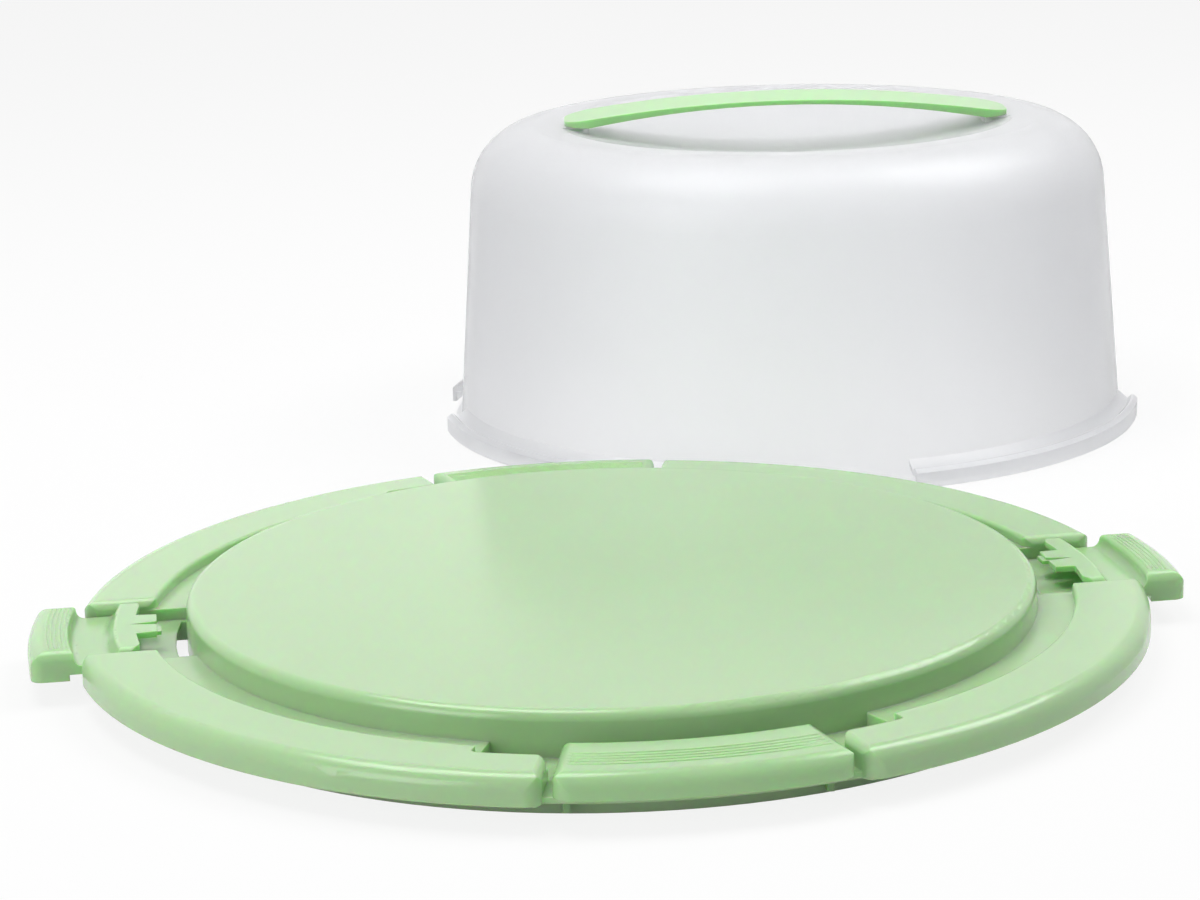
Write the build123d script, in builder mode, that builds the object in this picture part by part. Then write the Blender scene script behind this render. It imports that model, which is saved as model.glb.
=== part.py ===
from build123d import *
import os
from math import asin, cos, degrees, radians, sin, sqrt, tan

# Round cake carrier, in millimetres. A tray with a raised cake plate carries four sliding latches
# in its rim. The frosted dome with its strap handle is lifted off and stands behind the tray.
# The origin is the middle of the tray's foot, +Z is up. The two narrow latches lie on the X axis
# and are pulled out. The two wide latches lie on the Y axis and are pushed home.

# Tray, from the plate outwards and from the channel's floor up and down
plate_radius = 136.5
plate_rise = 9.6  # the plate's top above the channel's floor
plate_edge_round = 3.2
plate_draft = 0.5  # the plate's wall is this much wider at its foot
channel_width = 11.7
channel_floor = 13.0
rim_width = 23.8
rim_rise = 3.6
rim_depth = 9.0
rim_edge_round = 5.0
rim_lip_round = 1.4
foot_inset = 16.0  # the foot ring stands in from the rim's outer edge
tray_wall = 2.4
rib_count = 12
rib_thickness = 1.8
rib_depth = 3.0
hub_radius = 34.0

# Latch slots in the rim
bed_step = 4.0  # the latches' beds lie this much under the channel's floor
bed_thickness = 1.8
bed_inset = 4.5
cheek_wall = 2.2
drain_width = 3.6
drain_length = 48.0
drain_cheek_length = 11.0
drain_cheek_bottom = 2.6
running_gap = 0.4
setback = 6.3  # how far the rim's inner edge stands back beside the wide latches
setback_half_angle = 23.5
slot_outer_round = 5.0
slot_inner_round = 4.0
setback_round = 2.0
setback_end_round = 4.0
end_round = 3.2  # the top edges beside the slots

# Latches, with their places as pushed home
latch_travel = 5.0
latch_wall = 2.2
grip_proud = 0.3
ridge_count = 5
ridge_radius = 0.3
ridge_pitch = 1.4
leg_thickness = 2.0
leg_depth = 3.0
leg_bottom = 1.5
leg_gap = 0.7
barb_reach = 1.0
barb_height = 2.4
narrow_width = 50.4
narrow_side_gap = 0.8
bar_overhang = 0.6  # the bar stands out over the channel
bar_width = 6.6
bar_slope = 2.6
neck_drop = 4.5
narrow_grip_inset = 3.5
narrow_grip_length = 13.0
narrow_grip_drop = 0.2
narrow_grip_round = 5.5
grip_end_round = 3.6
narrow_leg_offset = 16.0
tongue_length = 6.8
tongue_span = 20.0
tongue_thickness = 2.0
tongue_notch_width = 3.2
tongue_notch_depth = 8.5
tooth_offset = 3.9
tooth_width = 6.0
tooth_thickness = 1.2
wide_half_angle = 14.4
wide_gap_angle = 1.0
wide_overhang = 3.7
wide_body_setback = 1.8
wide_leg_inset = 1.8  # the legs stand in from where the latch's end meets the foot

# Dome, with its flange and the dish in its top
dome_x = 123.6
dome_turn = -8.4  # degrees, how far the dome stands turned on the table
dome_clearance = 7.7  # between the tray's rim and the dome that stands behind it
dome_height = 124.0
dome_wall = 1.8
dome_gap = 2.6  # between the plate's foot and the dome's, when the dome is on the tray
dome_narrowing = 9.6
shoulder_radius = 27.0
dish_inset = 36.0
dish_depth = 12.0
dish_edge_round = 5.0
land_length = 12.0
land_width = 26.0
skirt_gap = 1.7
skirt_wall = 1.6
flange_top = 9.6
gutter_reach = 3.3
gutter_height = 6.0
lip_reach = 5.3
lip_height = 7.4
lip_width = 0.8
ledge_height = 1.2
narrow_ledge_reach = 2.2
wide_ledge_reach = 6.9
flange_gap = 1.0  # between the flange's cut ends and the latches' slots
seat_gap = 0.3

# Strap handle
strap_inset = 2.0
strap_width = 34.0
strap_thickness = 1.8
strap_rise = 7.6
strap_end_round = 12.0
strap_foot = 10.0
pin_inset = 6.0
pin_length = 9.0
pin_thickness = 2.6
pin_drop = 3.2
pin_barb = 0.7
pin_gap = 0.3

# Worked out from the sizes above
plate_top = channel_floor + plate_rise
plate_foot_radius = plate_radius + plate_draft
rim_inner_radius = plate_foot_radius + channel_width
rim_radius = rim_inner_radius + rim_width
rim_top = channel_floor + rim_rise
rim_bottom = rim_top - rim_depth
foot_radius = rim_radius - foot_inset
bed_top = channel_floor - bed_step
bed_bottom = bed_top - bed_thickness
bed_outer_radius = rim_radius - bed_inset
setback_radius = rim_inner_radius + setback
narrow_slot_width = narrow_width + 2 * narrow_side_gap
slot_half_angle = wide_half_angle + wide_gap_angle
setback_middle = setback_radius * sin(radians((slot_half_angle + setback_half_angle) / 2))
cheek_angle = degrees(cheek_wall / rim_inner_radius)
latch_bottom = bed_top + running_gap
grip_top = rim_top + grip_proud
bar_inner_radius = rim_inner_radius - bar_overhang
bar_outer_radius = bar_inner_radius + bar_width
narrow_grip_inner_radius = rim_radius - narrow_grip_inset
narrow_grip_outer_radius = narrow_grip_inner_radius + narrow_grip_length
narrow_grip_bottom = rim_bottom - narrow_grip_drop
wide_inner_radius = rim_inner_radius - wide_overhang
wide_body_radius = rim_inner_radius + wide_body_setback
beyond = rim_radius + 30.0
wide_leg_offset = foot_radius * sin(radians(wide_half_angle)) - wide_leg_inset
dome_foot_radius = plate_foot_radius + dome_gap
dome_top_radius = dome_foot_radius - dome_narrowing
dome_taper = dome_narrowing / dome_height
dish_radius = dome_top_radius - dish_inset
skirt_radius = rim_inner_radius - skirt_gap
gutter_radius = dome_foot_radius + gutter_reach
lip_radius = dome_foot_radius + lip_reach
strap_half_length = dish_radius - strap_inset
dome_y = sqrt((rim_radius + skirt_radius + dome_clearance) ** 2 - dome_x**2)


def outline(*points):
    """A flat region with straight sides between the (radius, height) points."""
    with BuildSketch() as region:
        with BuildLine():
            Polyline(*points, close=True)
        make_face()
    return region.sketch


def corner(region, x, y):
    """The corner of a sketch nearest to (x, y)."""
    return region.vertices().sort_by_distance((x, y, 0))[0]


def corners_at(region, radius, offset=None):
    """The corners of a sketch at a radius, and at a distance from the X axis if one is given."""
    found = region.vertices().filter_by(lambda v: abs(sqrt(v.X**2 + v.Y**2) - radius) < 0.01)
    if offset is None:
        return found
    return found.filter_by(lambda v: abs(abs(v.Y) - offset) < 0.01)


def wedges(inner_radius, outer_radius, half_angle):
    """Two flat pieces of ring, centred on +Y and -Y."""
    reach = 2 * outer_radius
    side = reach * tan(radians(half_angle))
    with BuildSketch() as fans:
        with BuildLine():
            Polyline((0, 0), (side, reach), (-side, reach), close=True)
        make_face()
        with BuildLine():
            Polyline((0, 0), (side, -reach), (-side, -reach), close=True)
        make_face()
    with BuildSketch() as pair:
        Circle(outer_radius)
        Circle(inner_radius, mode=Mode.SUBTRACT)
        add(fans.sketch, mode=Mode.INTERSECT)
    return pair.sketch


def ring_sector(section, half_angle):
    """A piece of ring centred on the +X axis, with the given section and half angle."""
    with BuildPart() as sector:
        with BuildSketch(Plane.XZ.rotated((0, 0, -half_angle))):
            add(section)
        revolve(axis=Axis.Z, revolution_arc=2 * half_angle)
    return sector.part


def ring_band(section, width):
    """A piece of ring centred on the +X axis, cut to parallel sides the given width apart."""
    inner_radius = section.bounding_box().min.X
    with BuildPart() as band:
        add(ring_sector(section, degrees(asin(width / 2 / inner_radius)) + 3))
        with BuildSketch():
            with Locations((beyond / 2, 0)):
                Rectangle(beyond, width)
        extrude(amount=beyond, both=True, mode=Mode.INTERSECT)
    return band.part


def leg_start(offset):
    """Where a latch's leg starts along X, just outside the tray's foot."""
    return sqrt(foot_radius**2 - offset**2) + leg_gap


def legs(offset, top):
    """Two legs that reach through the bed's slits, with barbs that hook under the bed."""
    barb_top = bed_bottom - running_gap
    with BuildPart() as pair:
        with BuildSketch(Plane.YZ.offset(leg_start(offset))):
            with BuildLine():
                Polyline(
                    (offset - leg_thickness / 2, top),
                    (offset + leg_thickness / 2, top),
                    (offset + leg_thickness / 2, barb_top),
                    (offset + leg_thickness / 2 + barb_reach, barb_top),
                    (offset + leg_thickness / 2, barb_top - barb_height),
                    (offset + leg_thickness / 2, leg_bottom),
                    (offset - leg_thickness / 2, leg_bottom),
                    close=True,
                )
            make_face()
        extrude(amount=leg_depth)
        mirror(about=Plane.XZ)
    return pair.part


def slits(offset):
    """The two slits in a bed that a latch's legs slide along."""
    slit_length = leg_depth + latch_travel + 2 * running_gap
    with BuildPart() as pair:
        with BuildSketch():
            middle = leg_start(offset) - running_gap + slit_length / 2
            with Locations((middle, offset), (middle, -offset)):
                Rectangle(slit_length, leg_thickness + 2 * running_gap)
        extrude(amount=bed_top)
    return pair.part


def end_rounds(half_angle, half_width, top, radius, side):
    """What is cut from the top edges of two end faces, either side of the +X axis.

    The faces lean by the half angle and start at the half width. Side is 1 where the material
    lies outside the faces, and -1 where it lies between them.
    """
    along = Vector(cos(radians(half_angle)), sin(radians(half_angle)), 0)
    into = Vector(-along.Y, along.X, 0) * side
    start = Vector(0, half_width, top) + along * (wide_inner_radius - 1)
    with BuildPart() as pair:
        with BuildSketch(Plane(origin=start, x_dir=into, z_dir=along * side)):
            with BuildLine():
                ThreePointArc(
                    (-0.05, -1.1 * radius),
                    (0.28 * radius, -0.28 * radius),
                    (1.1 * radius, 0.05),
                )
                Polyline(
                    (1.1 * radius, 0.05),
                    (1.1 * radius, radius),
                    (-radius, radius),
                    (-radius, -1.1 * radius),
                    (-0.05, -1.1 * radius),
                )
            make_face()
        extrude(amount=side * (beyond - wide_inner_radius))
        mirror(about=Plane.XZ)
    return pair.part


# A slot's cheeks and bed fill the hollow rim with this section, before the slot is cut in them
housing_section = outline(
    (plate_foot_radius - tray_wall / 2, bed_bottom),
    (rim_radius - tray_wall / 2, bed_bottom),
    (rim_radius - tray_wall / 2, rim_top - rim_edge_round),
    (rim_radius - rim_edge_round, rim_top - tray_wall / 2),
    (rim_inner_radius + tray_wall / 2, rim_top - tray_wall / 2),
    (rim_inner_radius + tray_wall / 2, channel_floor - tray_wall / 2),
    (plate_foot_radius - tray_wall / 2, channel_floor - tray_wall / 2),
)
opening_section = outline(
    (plate_foot_radius, bed_top),
    (beyond, bed_top),
    (beyond, plate_top),
    (plate_foot_radius, plate_top),
)
drain_section = outline(
    (plate_foot_radius, 0),
    (plate_foot_radius + drain_width, 0),
    (plate_foot_radius + drain_width, channel_floor),
    (plate_foot_radius, channel_floor),
)
# Beside the wide latches the rim's inner edge stands back, and the channel is as deep as the bed
setback_wall_section = outline(
    (plate_foot_radius - tray_wall / 2, bed_bottom),
    (setback_radius + tray_wall, bed_bottom),
    (setback_radius + tray_wall, rim_top - tray_wall / 2),
    (rim_inner_radius + tray_wall / 2, rim_top - tray_wall / 2),
    (rim_inner_radius + tray_wall / 2, channel_floor - tray_wall / 2),
    (plate_foot_radius - tray_wall / 2, channel_floor - tray_wall / 2),
)
setback_opening_section = outline(
    (plate_foot_radius, bed_top),
    (setback_radius, bed_top),
    (setback_radius, channel_floor),
    (plate_foot_radius, channel_floor),
)
narrow_housing = ring_band(housing_section, narrow_slot_width + 2 * cheek_wall)
narrow_opening = ring_band(opening_section, narrow_slot_width)
drain = ring_band(drain_section, drain_length)
narrow_slits = slits(narrow_leg_offset)
wide_housing = ring_sector(housing_section, slot_half_angle + cheek_angle)
wide_opening = ring_sector(opening_section, slot_half_angle)
wide_slits = slits(wide_leg_offset)
narrow_slot_rounds = end_rounds(0, narrow_slot_width / 2, rim_top, end_round, 1)
wide_slot_rounds = end_rounds(slot_half_angle, 0, rim_top, end_round, 1)
setback_wall = ring_sector(setback_wall_section, setback_half_angle + cheek_angle)
setback_opening = ring_sector(setback_opening_section, setback_half_angle)

# What is left of the rim, seen from above, with rounded corners beside the slots
with BuildSketch() as rim_plan:
    Circle(rim_radius)
    Circle(rim_inner_radius, mode=Mode.SUBTRACT)
    add(wedges(rim_inner_radius - 1, setback_radius, setback_half_angle), mode=Mode.SUBTRACT)
    add(wedges(rim_inner_radius - 1, beyond, slot_half_angle), mode=Mode.SUBTRACT)
    Rectangle(2 * beyond, narrow_slot_width, mode=Mode.SUBTRACT)
    fillet(corners_at(rim_plan, rim_radius), slot_outer_round)
    fillet(corners_at(rim_plan, rim_inner_radius, narrow_slot_width / 2), slot_inner_round)
    fillet(corners_at(rim_plan, rim_inner_radius).filter_by(
        lambda v: abs(v.Y) > rim_inner_radius / 2), setback_round)
    fillet(corners_at(rim_plan, setback_radius).filter_by(
        lambda v: abs(v.X) > setback_middle), setback_round)
    fillet(corners_at(rim_plan, setback_radius).filter_by(
        lambda v: abs(v.X) < setback_middle), setback_end_round)
with BuildSketch() as upper_gaps:
    Circle(beyond)
    Circle(rim_inner_radius - 1, mode=Mode.SUBTRACT)
    add(rim_plan.sketch, mode=Mode.SUBTRACT)
with BuildSketch() as lower_gaps:
    Circle(beyond)
    Circle(bed_outer_radius, mode=Mode.SUBTRACT)
    add(rim_plan.sketch, mode=Mode.SUBTRACT)

with BuildPart() as base_tray:
    with BuildSketch(Plane.XZ) as tray_section:
        with BuildLine():
            Polyline(
                (0, plate_top),
                (plate_radius, plate_top),
                (plate_foot_radius, channel_floor),
                (rim_inner_radius, channel_floor),
                (rim_inner_radius, rim_top),
                (rim_radius, rim_top),
                (rim_radius, rim_bottom),
                (rim_radius - tray_wall, rim_bottom),
                (rim_radius - tray_wall, rim_top - tray_wall),
                (foot_radius, rim_top - tray_wall),
                (foot_radius, 0),
                (foot_radius - tray_wall, 0),
                (foot_radius - tray_wall, rim_top - tray_wall),
                (rim_inner_radius + tray_wall, rim_top - tray_wall),
                (rim_inner_radius + tray_wall, channel_floor - tray_wall),
                (plate_foot_radius - tray_wall, channel_floor - tray_wall),
                (plate_radius - tray_wall, plate_top - tray_wall),
                (0, plate_top - tray_wall),
                close=True,
            )
        make_face()
        fillet(corner(tray_section, plate_radius, plate_top), plate_edge_round)
        fillet(corner(tray_section, rim_radius, rim_top), rim_edge_round)
        fillet(
            corner(tray_section, rim_radius - tray_wall, rim_top - tray_wall),
            rim_edge_round - tray_wall,
        )
        fillet(corner(tray_section, rim_inner_radius, rim_top), rim_lip_round)
    revolve(axis=Axis.Z)
    with PolarLocations(0, 2):
        add(narrow_housing)
    with PolarLocations(0, 2, start_angle=90):
        add(wide_housing)
        add(setback_wall)
    with BuildSketch(Plane.XY.offset(plate_top - tray_wall - rib_depth)):
        Circle(hub_radius)
        Circle(hub_radius - rib_thickness, mode=Mode.SUBTRACT)
        rib_start = hub_radius - rib_thickness / 2
        rib_length = plate_radius - tray_wall / 2 - rib_start
        with PolarLocations(rib_start + rib_length / 2, rib_count, start_angle=180 / rib_count):
            Rectangle(rib_length, rib_thickness)
    extrude(amount=rib_depth + tray_wall / 2)
    with BuildSketch(Plane.XY.offset(drain_cheek_bottom)):
        for end in (-1, 1):
            with PolarLocations(0, 2):
                with Locations((plate_foot_radius + drain_cheek_length / 2 - tray_wall / 2,
                                end * (drain_length + cheek_wall) / 2)):
                    Rectangle(drain_cheek_length, cheek_wall)
    extrude(amount=bed_bottom + bed_thickness / 2 - drain_cheek_bottom)
    with PolarLocations(0, 2):
        add(narrow_opening, mode=Mode.SUBTRACT)
        add(narrow_slits, mode=Mode.SUBTRACT)
        add(drain, mode=Mode.SUBTRACT)
    with PolarLocations(0, 2, start_angle=90):
        add(wide_opening, mode=Mode.SUBTRACT)
        add(setback_opening, mode=Mode.SUBTRACT)
        add(wide_slits, mode=Mode.SUBTRACT)
    with BuildSketch(Plane.XY.offset(channel_floor)):
        add(upper_gaps.sketch)
    extrude(amount=rim_rise + 1, mode=Mode.SUBTRACT)
    with BuildSketch():
        add(lower_gaps.sketch)
    extrude(amount=channel_floor, mode=Mode.SUBTRACT)
    with PolarLocations(0, 2):
        add(narrow_slot_rounds, mode=Mode.SUBTRACT)
    with PolarLocations(0, 2, start_angle=90):
        add(wide_slot_rounds, mode=Mode.SUBTRACT)
base_tray.part.label = "base_tray"

# A narrow latch, pushed home in the slot on +X: a bar flush with the rim and a ridged grip outside
# it, joined by a low neck. The bar is a shelf, open below, and two tongues reach inwards from it,
# over the dome's ledge.
neck_top = rim_top - neck_drop
narrow_skirt_radius = bed_outer_radius + latch_travel / 2
with BuildSketch() as narrow_section:
    with BuildLine():
        Polyline(
            (bar_inner_radius, latch_bottom),
            (bar_inner_radius, rim_top),
            (bar_outer_radius, rim_top),
            (bar_outer_radius + bar_slope, neck_top),
            (narrow_grip_inner_radius, neck_top),
            (narrow_grip_inner_radius, grip_top),
            (narrow_grip_outer_radius, grip_top),
            (narrow_grip_outer_radius, narrow_grip_bottom),
            (narrow_skirt_radius, narrow_grip_bottom),
            (narrow_skirt_radius, latch_bottom),
            close=True,
        )
    make_face()
    fillet(corner(narrow_section, bar_outer_radius, rim_top), bar_slope / 2)
    fillet(corner(narrow_section, bar_outer_radius + bar_slope, neck_top), bar_slope)
    fillet(corner(narrow_section, narrow_grip_inner_radius, neck_top), bar_slope)
    fillet(corner(narrow_section, narrow_grip_inner_radius, grip_top), rim_lip_round)
    fillet(corner(narrow_section, narrow_grip_outer_radius, grip_top), narrow_grip_round)
    for ridge in range(ridge_count):
        with Locations((narrow_grip_inner_radius + (ridge + 1) * ridge_pitch, grip_top)):
            Circle(ridge_radius)
bar_core = outline(
    (bar_inner_radius - 1, 0),
    (bar_outer_radius, 0),
    (bar_outer_radius, rim_top - tongue_thickness),
    (bar_inner_radius - 1, rim_top - tongue_thickness),
)
grip_core = outline(
    (narrow_skirt_radius + latch_wall, 0),
    (narrow_grip_outer_radius - latch_wall, 0),
    (narrow_grip_outer_radius - latch_wall, rim_top - narrow_grip_round),
    (narrow_grip_outer_radius - narrow_grip_round, rim_top - latch_wall),
    (narrow_skirt_radius + latch_wall, rim_top - latch_wall),
)
narrow_body = ring_band(narrow_section.sketch, narrow_width)
bar_hollow = ring_band(bar_core, narrow_width + 2)
grip_hollow = ring_band(grip_core, narrow_width - 2 * latch_wall)
narrow_legs = legs(narrow_leg_offset, latch_bottom + latch_wall / 2)

with BuildPart() as narrow_latch:
    add(narrow_body)
    with BuildSketch() as narrow_plan:
        Circle(narrow_grip_outer_radius)
        Circle(bar_inner_radius, mode=Mode.SUBTRACT)
        with Locations((beyond / 2, 0)):
            Rectangle(beyond, narrow_width, mode=Mode.INTERSECT)
        fillet(corners_at(narrow_plan, narrow_grip_outer_radius, narrow_width / 2), slot_inner_round)
        fillet(corners_at(narrow_plan, bar_inner_radius, narrow_width / 2), slot_outer_round)
    extrude(amount=beyond, both=True, mode=Mode.INTERSECT)
    add(end_rounds(0, narrow_width / 2, grip_top, grip_end_round, -1), mode=Mode.SUBTRACT)
    add(bar_hollow, mode=Mode.SUBTRACT)
    add(grip_hollow, mode=Mode.SUBTRACT)
    with BuildSketch(Plane.XY.offset(rim_top)):
        with BuildLine():
            tongue_tip = bar_inner_radius - tongue_length
            tongue_root = bar_inner_radius + latch_wall / 2
            Polyline(
                (tongue_root, -tongue_span / 2),
                (tongue_tip, -tongue_span / 2 + 1),
                (tongue_tip, tongue_span / 2 - 1),
                (tongue_root, tongue_span / 2),
                close=True,
            )
        make_face()
    extrude(amount=-tongue_thickness)
    with BuildSketch(Plane.XY.offset(rim_top)):
        with BuildLine():
            Polyline(
                (tongue_tip - 1, -tongue_notch_width / 2),
                (tongue_tip, -tongue_notch_width / 2),
                (tongue_tip + tongue_notch_depth, 0),
                (tongue_tip, tongue_notch_width / 2),
                (tongue_tip - 1, tongue_notch_width / 2),
                close=True,
            )
        make_face()
    extrude(amount=-tongue_thickness, mode=Mode.SUBTRACT)
    tooth_tip = dome_foot_radius + seat_gap
    with BuildSketch(Plane.XY.offset(rim_top - tongue_thickness)):
        with Locations(((tooth_tip + tongue_tip + latch_wall) / 2, tooth_offset)):
            Rectangle(tongue_tip + latch_wall - tooth_tip, tooth_width)
    extrude(amount=tooth_thickness)
    add(narrow_legs)

# A wide latch, pushed home in the slot on +X: a ridged shell whose inner edge overlaps the
# dome's ledge
wide_ridge_start = wide_body_radius + latch_wall
with BuildSketch() as wide_section:
    with BuildLine():
        Polyline(
            (wide_inner_radius, grip_top - latch_wall),
            (wide_inner_radius, grip_top),
            (rim_radius, grip_top),
            (rim_radius, latch_bottom),
            (wide_body_radius, latch_bottom),
            (wide_body_radius, grip_top - latch_wall),
            close=True,
        )
    make_face()
    fillet(corner(wide_section, wide_inner_radius, grip_top), rim_lip_round)
    fillet(corner(wide_section, rim_radius, grip_top), rim_edge_round)
    for ridge in range(ridge_count):
        with Locations((wide_ridge_start + (ridge + 1) * 1.5 * ridge_pitch, grip_top)):
            Circle(ridge_radius)
wide_core = outline(
    (wide_body_radius + latch_wall, 0),
    (rim_radius - latch_wall, 0),
    (rim_radius - latch_wall, rim_top - rim_edge_round),
    (rim_radius - rim_edge_round, rim_top - latch_wall),
    (wide_body_radius + latch_wall, rim_top - latch_wall),
)
wide_body = ring_sector(wide_section.sketch, wide_half_angle)
wide_hollow = ring_sector(wide_core, wide_half_angle - degrees(latch_wall / wide_body_radius))
wide_legs = legs(wide_leg_offset, grip_top - latch_wall / 2)

with BuildPart() as wide_latch:
    add(wide_body)
    with BuildSketch() as wide_plan:
        add(wedges(wide_inner_radius, rim_radius, wide_half_angle), rotation=90)
        fillet(corners_at(wide_plan, rim_radius), slot_outer_round)
        fillet(corners_at(wide_plan, wide_inner_radius), setback_round)
    extrude(amount=beyond, both=True, mode=Mode.INTERSECT)
    add(end_rounds(wide_half_angle, 0, grip_top, grip_end_round, -1), mode=Mode.SUBTRACT)
    add(wide_hollow, mode=Mode.SUBTRACT)
    add(wide_legs)

# The four latches where they stand: the narrow ones pulled out, the wide ones pushed home
with BuildPart() as latch_right:
    with Locations((latch_travel, 0, 0)):
        add(narrow_latch.part)
latch_right.part.label = "latch_right"

with BuildPart() as latch_left:
    with Locations(Location((-latch_travel, 0, 0), (0, 0, 180))):
        add(narrow_latch.part)
latch_left.part.label = "latch_left"

with BuildPart() as latch_front:
    with Locations(Location((0, 0, 0), (0, 0, -90))):
        add(wide_latch.part)
latch_front.part.label = "latch_front"

with BuildPart() as latch_back:
    with Locations(Location((0, 0, 0), (0, 0, 90))):
        add(wide_latch.part)
latch_back.part.label = "latch_back"


def dome_form(inset):
    """The dome as a solid, drawn in from its outer face by the inset."""
    top = dome_height - inset
    ball_radius = (dish_radius**2 + dish_depth**2) / (2 * dish_depth)
    ball_height = dome_height - dish_depth + ball_radius
    dish_edge = sqrt((ball_radius + inset) ** 2 - (ball_height - top) ** 2)
    with BuildPart() as form:
        with BuildSketch(Plane.XZ) as half_section:
            with BuildLine():
                Polyline(
                    (0, 0),
                    (dome_foot_radius - inset, 0),
                    (dome_top_radius - inset, top),
                    (dish_edge, top),
                )
                ThreePointArc(
                    (dish_edge, top),
                    (
                        dish_edge / 2,
                        ball_height - sqrt((ball_radius + inset) ** 2 - dish_edge**2 / 4),
                    ),
                    (0, ball_height - ball_radius - inset),
                )
                Line((0, ball_height - ball_radius - inset), (0, 0))
            make_face()
            fillet(corner(half_section, dome_top_radius - inset, top), shoulder_radius - inset)
            fillet(corner(half_section, dish_edge, top), dish_edge_round - inset)
        revolve(axis=Axis.Z)
        with BuildSketch(Plane.XY.offset(top)):
            land_start = dish_radius - land_length + inset
            with PolarLocations((land_start + dish_radius + dish_edge_round) / 2, 2):
                Rectangle(
                    dish_radius + dish_edge_round - land_start,
                    land_width - 2 * inset,
                )
        extrude(amount=-dish_depth)
    return form.part


def wall_radius(height):
    """The radius of the dome's outer face at a height."""
    return dome_foot_radius - height * dome_taper


def flange_cut(ledge_radius):
    """The section that is cut from the flange in front of a latch, down to the ledge."""
    return outline(
        (wall_radius(ledge_height), ledge_height),
        (ledge_radius, ledge_height),
        (ledge_radius, 0),
        (beyond, 0),
        (beyond, flange_top + 1),
        (wall_radius(flange_top + 1), flange_top + 1),
    )


def ledge_section(ledge_radius):
    """The section of the ledge that a latch holds down."""
    return outline(
        (dome_foot_radius - dome_wall / 2, 0),
        (ledge_radius, 0),
        (ledge_radius, ledge_height),
        (dome_foot_radius - dome_wall / 2, ledge_height),
    )


narrow_ledge_radius = dome_foot_radius + narrow_ledge_reach
wide_ledge_radius = dome_foot_radius + wide_ledge_reach
narrow_cut_width = narrow_slot_width + 2 * flange_gap
wide_cut_angle = slot_half_angle + degrees(flange_gap / skirt_radius)
narrow_flange_cut = ring_band(flange_cut(narrow_ledge_radius), narrow_cut_width)
wide_flange_cut = ring_sector(flange_cut(wide_ledge_radius), wide_cut_angle)
narrow_ledge = ring_band(ledge_section(narrow_ledge_radius), narrow_cut_width)
wide_ledge = ring_sector(ledge_section(wide_ledge_radius), wide_cut_angle)
dome_outside = dome_form(0)
dome_inside = dome_form(dome_wall)

with BuildPart() as dome:
    add(dome_outside)
    add(dome_inside, mode=Mode.SUBTRACT)
    with BuildSketch(Plane.XZ):
        with BuildLine():
            slope_start = wall_radius(flange_top) - dome_wall / 2
            Polyline(
                (slope_start, flange_top + dome_wall / 2),
                (gutter_radius, gutter_height),
                (lip_radius - lip_width / 2, lip_height),
                (lip_radius + lip_width / 2, lip_height),
                (skirt_radius, gutter_height),
                (skirt_radius, 0),
                (skirt_radius - skirt_wall, 0),
                (skirt_radius - skirt_wall, gutter_height - skirt_wall),
                (gutter_radius, gutter_height - skirt_wall),
                (slope_start, flange_top - skirt_wall),
                close=True,
            )
        make_face()
    revolve(axis=Axis.Z)
    with PolarLocations(0, 2):
        add(narrow_flange_cut, mode=Mode.SUBTRACT)
        add(narrow_ledge)
    with PolarLocations(0, 2, start_angle=90):
        add(wide_flange_cut, mode=Mode.SUBTRACT)
        add(wide_ledge)
    with BuildSketch(Plane.XY.offset(dome_height)):
        with PolarLocations(strap_half_length - pin_inset, 2):
            Rectangle(pin_thickness + 2 * pin_gap, pin_length + 2 * pin_gap)
    extrude(amount=-2 * dome_wall, mode=Mode.SUBTRACT)

# The strap arches over the dish. Its feet stand on the lands, with a pin through each
with BuildPart() as strap:
    with BuildSketch(Plane.XZ):
        with BuildLine():
            blank_half_length = strap_half_length + 1  # the blank is trimmed to rounded ends
            ThreePointArc(
                (-blank_half_length, dome_height + strap_thickness),
                (0, dome_height + strap_rise + strap_thickness),
                (blank_half_length, dome_height + strap_thickness),
            )
            Polyline(
                (blank_half_length, dome_height + strap_thickness),
                (blank_half_length, dome_height),
                (-blank_half_length, dome_height),
                (-blank_half_length, dome_height + strap_thickness),
            )
        make_face()
        with BuildLine():
            arch_half_length = strap_half_length - strap_foot
            ThreePointArc(
                (-arch_half_length, dome_height),
                (0, dome_height + strap_rise),
                (arch_half_length, dome_height),
            )
            Line((arch_half_length, dome_height), (-arch_half_length, dome_height))
        make_face(mode=Mode.SUBTRACT)
    extrude(amount=strap_width / 2, both=True)
    with BuildSketch(Plane.XY.offset(dome_height - 1)):
        RectangleRounded(2 * strap_half_length, strap_width, strap_end_round)
    extrude(amount=strap_rise + strap_thickness + 2, mode=Mode.INTERSECT)
    with BuildSketch(Plane.XY.offset(dome_height - dome_wall - pin_drop)):
        with PolarLocations(strap_half_length - pin_inset, 2):
            Rectangle(pin_thickness, pin_length)
    extrude(amount=dome_wall + pin_drop + strap_thickness / 2)
    with BuildSketch(Plane.XZ):
        with BuildLine():
            pin_face = strap_half_length - pin_inset + pin_thickness / 2
            barb_top = dome_height - dome_wall - pin_gap
            Polyline(
                (pin_face - pin_barb, barb_top),
                (pin_face + pin_barb, barb_top),
                (pin_face, barb_top - pin_drop / 2),
                (pin_face - pin_barb, barb_top - pin_drop / 2),
                close=True,
            )
        make_face()
        mirror(about=Plane.YZ)
    extrude(amount=pin_length / 2 - pin_gap, both=True)

dome_place = Location((dome_x, dome_y, 0), (0, 0, dome_turn))

with BuildPart() as lid_dome:
    with Locations(dome_place):
        add(dome.part)
lid_dome.part.label = "lid_dome"

with BuildPart() as lid_handle:
    with Locations(dome_place):
        add(strap.part)
lid_handle.part.label = "lid_handle"

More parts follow.
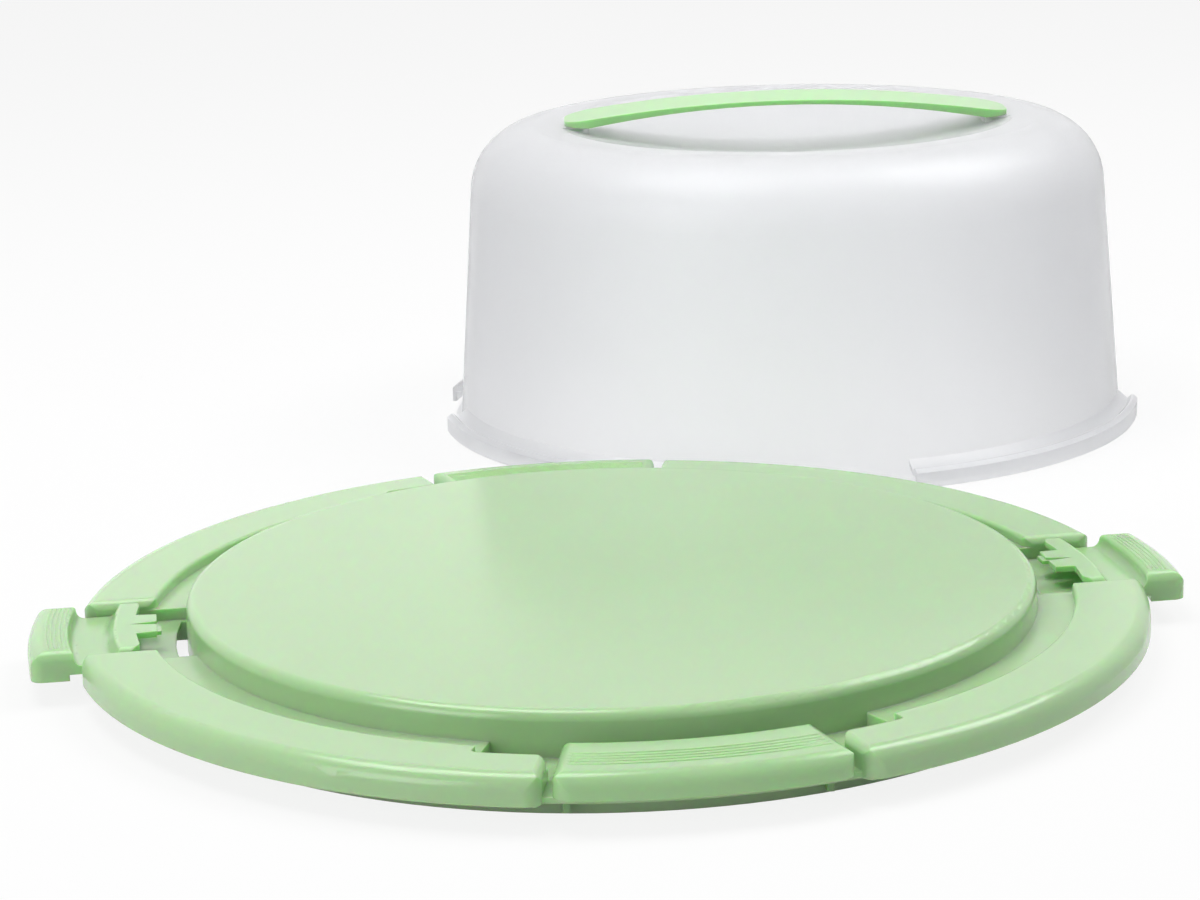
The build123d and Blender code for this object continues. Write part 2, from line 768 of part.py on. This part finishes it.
os.makedirs("parts", exist_ok=True)
export_step(base_tray.part, "parts/base_tray.step")
export_step(latch_right.part, "parts/latch_right.step")
export_step(latch_left.part, "parts/latch_left.step")
export_step(latch_front.part, "parts/latch_front.step")
export_step(latch_back.part, "parts/latch_back.step")
export_step(lid_dome.part, "parts/lid_dome.step")
export_step(lid_handle.part, "parts/lid_handle.step")
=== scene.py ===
"""A round cake carrier: a moulded tray with four sliding latches, and a frosted dome beside it."""
from math import cos, radians, sin

import bpy
from mathutils import Matrix, Vector

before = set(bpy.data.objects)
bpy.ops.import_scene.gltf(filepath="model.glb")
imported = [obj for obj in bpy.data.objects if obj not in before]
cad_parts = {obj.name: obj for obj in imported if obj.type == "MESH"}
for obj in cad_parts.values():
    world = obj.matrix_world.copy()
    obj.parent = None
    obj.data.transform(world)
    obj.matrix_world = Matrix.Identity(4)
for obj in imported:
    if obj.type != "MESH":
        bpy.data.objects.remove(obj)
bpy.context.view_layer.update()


# ---------------------------------------------------------------- shader maths
class Wire:
    """A shader socket that can be added, multiplied and so on, as a number can."""

    def __init__(self, finish, socket):
        self.finish = finish
        self.socket = socket

    def math(self, operation, first, second):
        node = self.finish.node("ShaderNodeMath", {"operation": operation}, {0: first, 1: second})
        return self.finish.out(node, 0)

    def __add__(self, other):
        return self.math("ADD", self, other)

    def __radd__(self, other):
        return self.math("ADD", other, self)

    def __mul__(self, other):
        return self.math("MULTIPLY", self, other)

    def __rmul__(self, other):
        return self.math("MULTIPLY", other, self)


class Finish:
    """A material that is built node by node."""

    def __init__(self, name):
        self.material = bpy.data.materials.new(name)
        self.material.use_nodes = True
        self.tree = self.material.node_tree
        self.shader = self.tree.nodes["Principled BSDF"]

    def node(self, kind, settings=None, sockets=None):
        """A node of a kind. Its settings are set first, then its sockets' values or links."""
        made = self.tree.nodes.new(kind)
        for name, value in (settings or {}).items():
            setattr(made, name, value)
        for name, value in (sockets or {}).items():
            self.feed(made, name, value)
        return made

    def feed(self, node, name, value):
        """Sets or links one input socket."""
        if isinstance(value, Wire):
            self.tree.links.new(value.socket, node.inputs[name])
        else:
            node.inputs[name].default_value = value

    def out(self, node, name):
        return Wire(self, node.outputs[name])

    def place(self):
        """Where a point is on the object, in metres."""
        return self.out(self.node("ShaderNodeTexCoord"), "Object")

    def noise(self, scale, detail=2.0):
        """Soft cloudy variation from 0 to 1."""
        return self.out(
            self.node(
                "ShaderNodeTexNoise",
                sockets={"Vector": self.place(), "Scale": scale, "Detail": detail},
            ),
            0,
        )

    def mix(self, mask, first, second):
        """From the first colour to the second as the mask goes from 0 to 1."""
        made = self.node("ShaderNodeMix", {"data_type": "RGBA"})
        # Sockets of a colour mix: 0 is the factor, 6 and 7 are the colours, 2 is the result.
        self.feed(made, 0, mask)
        self.feed(made, 6, first)
        self.feed(made, 7, second)
        return self.out(made, 2)

    def set(self, values):
        """Sets or links the shader's own sockets, by their names."""
        for name, value in values.items():
            self.feed(self.shader, name, value)


POLYPROPYLENE_IOR = 1.49
FLOW_SCALE = 14.0           # a flow mark about every 70 mm
RIPPLE_SCALE = 55.0         # a ripple about every 18 mm
RIPPLE_HEIGHT = 0.0004
SOFT_EDGE = 0.0007          # edges look rounded by this much, in metres
ROUGHNESS_SPREAD = 0.03
LIGHT_REACH = 0.006         # how far light soaks in, in metres
LIGHT_REACH_BY_COLOUR = (0.25, 1.0, 0.12)
CLOUD_SCALE = 9.0
GRAIN_SCALE = 1800.0
GRAIN_HEIGHT = 0.0003
FROST_ROUGHNESS = 0.42
FROST_TRANSMISSION = 0.88


def moulded_plastic(name, pale, deep, roughness):
    """Moulded polypropylene: faint flow marks in the colour, and light that soaks in a little."""
    plastic = Finish(name)
    flow = plastic.noise(FLOW_SCALE, 3.0)
    ripple = plastic.noise(RIPPLE_SCALE, 0.0)
    softened = plastic.out(
        plastic.node("ShaderNodeBevel", {"samples": 6}, {"Radius": SOFT_EDGE}), "Normal"
    )
    bumped = plastic.node(
        "ShaderNodeBump",
        sockets={
            "Strength": 0.10,
            "Distance": RIPPLE_HEIGHT,
            "Height": ripple,
            "Normal": softened,
        },
    )
    plastic.set(
        {
            "Base Color": plastic.mix(flow, deep, pale),
            "Roughness": roughness - ROUGHNESS_SPREAD + 2 * ROUGHNESS_SPREAD * flow,
            "Normal": plastic.out(bumped, "Normal"),
            "IOR": POLYPROPYLENE_IOR,
            "Subsurface Weight": 0.85,
            "Subsurface Radius": LIGHT_REACH_BY_COLOUR,
            "Subsurface Scale": LIGHT_REACH,
        }
    )
    return plastic.material


def frosted_plastic(name, colour):
    """Thin translucent polypropylene, frosted on its faces, a little clouded by its flow."""
    plastic = Finish(name)
    cloud = plastic.noise(CLOUD_SCALE, 3.0)
    grain = plastic.noise(GRAIN_SCALE, 1.0)
    bumped = plastic.node(
        "ShaderNodeBump",
        sockets={"Strength": 0.08, "Distance": GRAIN_HEIGHT, "Height": grain},
    )
    darker = tuple(0.97 * part for part in colour[:3]) + (1.0,)
    plastic.set(
        {
            "Base Color": plastic.mix(cloud, darker, colour),
            "Roughness": FROST_ROUGHNESS + 0.06 * cloud,
            "Normal": plastic.out(bumped, "Normal"),
            "IOR": POLYPROPYLENE_IOR,
            "Transmission Weight": FROST_TRANSMISSION,
        }
    )
    return plastic.material


# Each green has a pale and a deep shade, and a roughness.
tray_green = moulded_plastic(
    "tray_green", pale=(0.405, 0.59, 0.335, 1), deep=(0.385, 0.57, 0.315, 1), roughness=0.19
)
latch_green = moulded_plastic(
    "latch_green", pale=(0.385, 0.59, 0.315, 1), deep=(0.365, 0.57, 0.295, 1), roughness=0.18
)
handle_green = moulded_plastic(
    "handle_green", pale=(0.355, 0.585, 0.29, 1), deep=(0.335, 0.565, 0.27, 1), roughness=0.33
)
dome_frosted = frosted_plastic("dome_frosted", (0.975, 0.98, 0.995, 1))

finishes = {
    "base_tray": tray_green,
    "latch_left": latch_green,
    "latch_right": latch_green,
    "latch_front": latch_green,
    "latch_back": latch_green,
    "lid_dome": dome_frosted,
    "lid_handle": handle_green,
}
for node_name, finish in finishes.items():
    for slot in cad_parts[node_name].material_slots:
        slot.material = finish


# ---------------------------------------------------------------- floor, light and camera
FLOOR_REACH = 6.0
FLOOR_GAP = 0.0002          # the floor lies this far under the feet, so faces never coincide
FLOOR_GLOW = 0.86           # share of plain white in the floor as it is seen
WORLD_LIGHT = 0.3


def white_stage():
    """A white floor that keeps the object's shadow, and looks white to the camera."""
    reach = FLOOR_REACH
    mesh = bpy.data.meshes.new("floor")
    corners = [(-reach, -reach, 0), (reach, -reach, 0), (reach, reach, 0), (-reach, reach, 0)]
    mesh.from_pydata(corners, [], [(0, 1, 2, 3)])
    floor = bpy.data.objects.new("floor", mesh)
    floor.location.z = -FLOOR_GAP
    bpy.context.scene.collection.objects.link(floor)
    paint = Finish("floor_white")
    paint.set({"Base Color": (0.8, 0.8, 0.8, 1), "Roughness": 0.9, "Specular IOR Level": 0.0})
    glow = paint.node("ShaderNodeEmission", sockets={"Color": (1, 1, 1, 1), "Strength": 1.0})
    path = paint.node("ShaderNodeLightPath")
    seen = paint.out(path, "Is Camera Ray")
    for ray in ("Is Glossy Ray", "Is Transmission Ray"):
        seen = seen.math("MAXIMUM", seen, paint.out(path, ray))
    mixed = paint.node("ShaderNodeMixShader", sockets={0: FLOOR_GLOW * seen})
    paint.tree.links.new(paint.shader.outputs[0], mixed.inputs[1])
    paint.tree.links.new(glow.outputs[0], mixed.inputs[2])
    paint.tree.links.new(mixed.outputs[0], paint.tree.nodes["Material Output"].inputs["Surface"])
    mesh.materials.append(paint.material)


def lamp(name, place, target, size, power):
    """A square soft lamp that points at a target."""
    light = bpy.data.lights.new(name, "AREA")
    light.size = size
    light.energy = power
    made = bpy.data.objects.new(name, light)
    made.location = place
    made.rotation_euler = (Vector(target) - Vector(place)).to_track_quat("-Z", "Y").to_euler()
    bpy.context.scene.collection.objects.link(made)


def studio_world(light_strength):
    """A world that lights softly, and looks plain white directly, in gloss and through the dome."""
    world = bpy.data.worlds.new("studio")
    world.use_nodes = True
    nodes = world.node_tree.nodes
    links = world.node_tree.links
    background = nodes["Background"]
    background.inputs["Color"].default_value = (1, 1, 1, 1)
    path = nodes.new("ShaderNodeLightPath")
    strength = light_strength
    for ray in ("Is Glossy Ray", "Is Transmission Ray", "Is Camera Ray"):
        chosen = nodes.new("ShaderNodeMix")
        links.new(path.outputs[ray], chosen.inputs[0])
        if isinstance(strength, float):
            chosen.inputs[2].default_value = strength
        else:
            links.new(strength, chosen.inputs[2])
        chosen.inputs[3].default_value = 1.0
        strength = chosen.outputs[0]
    links.new(strength, background.inputs["Strength"])
    bpy.context.scene.world = world


SENSOR_WIDTH = 36.0         # millimetres
FRAME_PIXELS = 1200
FOCAL_PIXELS = 3018.6       # the lens's focal length in pixels of that frame


def stand_camera(azimuth, elevation, distance, focal, yaw, pitch, roll):
    """A camera at an azimuth and elevation, at a distance, turned a little off the origin.

    The camera's right, up and back axes are those of a view of the origin, then turned by yaw
    about up, by pitch about right and by roll about back.
    """
    back = Vector(
        (sin(azimuth) * cos(elevation), -cos(azimuth) * cos(elevation), sin(elevation))
    )
    right = Vector((cos(azimuth), sin(azimuth), 0))
    up = back.cross(right)
    axes = Matrix((right, up, back))
    turn_yaw = Matrix(((cos(yaw), 0, sin(yaw)), (0, 1, 0), (-sin(yaw), 0, cos(yaw))))
    turn_pitch = Matrix(((1, 0, 0), (0, cos(pitch), -sin(pitch)), (0, sin(pitch), cos(pitch))))
    turn_roll = Matrix(((cos(roll), sin(roll), 0), (-sin(roll), cos(roll), 0), (0, 0, 1)))
    turned = turn_roll @ turn_pitch @ turn_yaw @ axes
    data = bpy.data.cameras.new("camera")
    data.sensor_fit = "HORIZONTAL"
    data.sensor_width = SENSOR_WIDTH
    data.lens = focal
    data.clip_end = 50
    camera = bpy.data.objects.new("camera", data)
    camera.matrix_world = Matrix.Translation(back * distance) @ turned.transposed().to_4x4()
    bpy.context.scene.collection.objects.link(camera)
    bpy.context.scene.camera = camera


white_stage()
studio_world(WORLD_LIGHT)
lamp("key", (-0.35, 0.2, 1.4), (0, 0.08, 0), 0.8, 11.0)
lamp("fill", (0.9, 0.3, 1.3), (0, 0.1, 0), 0.8, 11.0)
lamp("side", (-1.3, -0.9, 0.6), (0, 0.1, 0), 0.9, 9.0)
lamp("back", (0.0, 2.3, 0.95), (0, 0.1, 0.1), 2.4, 3.0)
stand_camera(
    azimuth=radians(-8.42),
    elevation=0.31109,
    distance=0.98566,
    focal=SENSOR_WIDTH * FOCAL_PIXELS / FRAME_PIXELS,
    yaw=-0.00243,
    pitch=-0.06257,
    roll=-0.02808,
)

bpy.context.scene.view_settings.view_transform = "Standard"
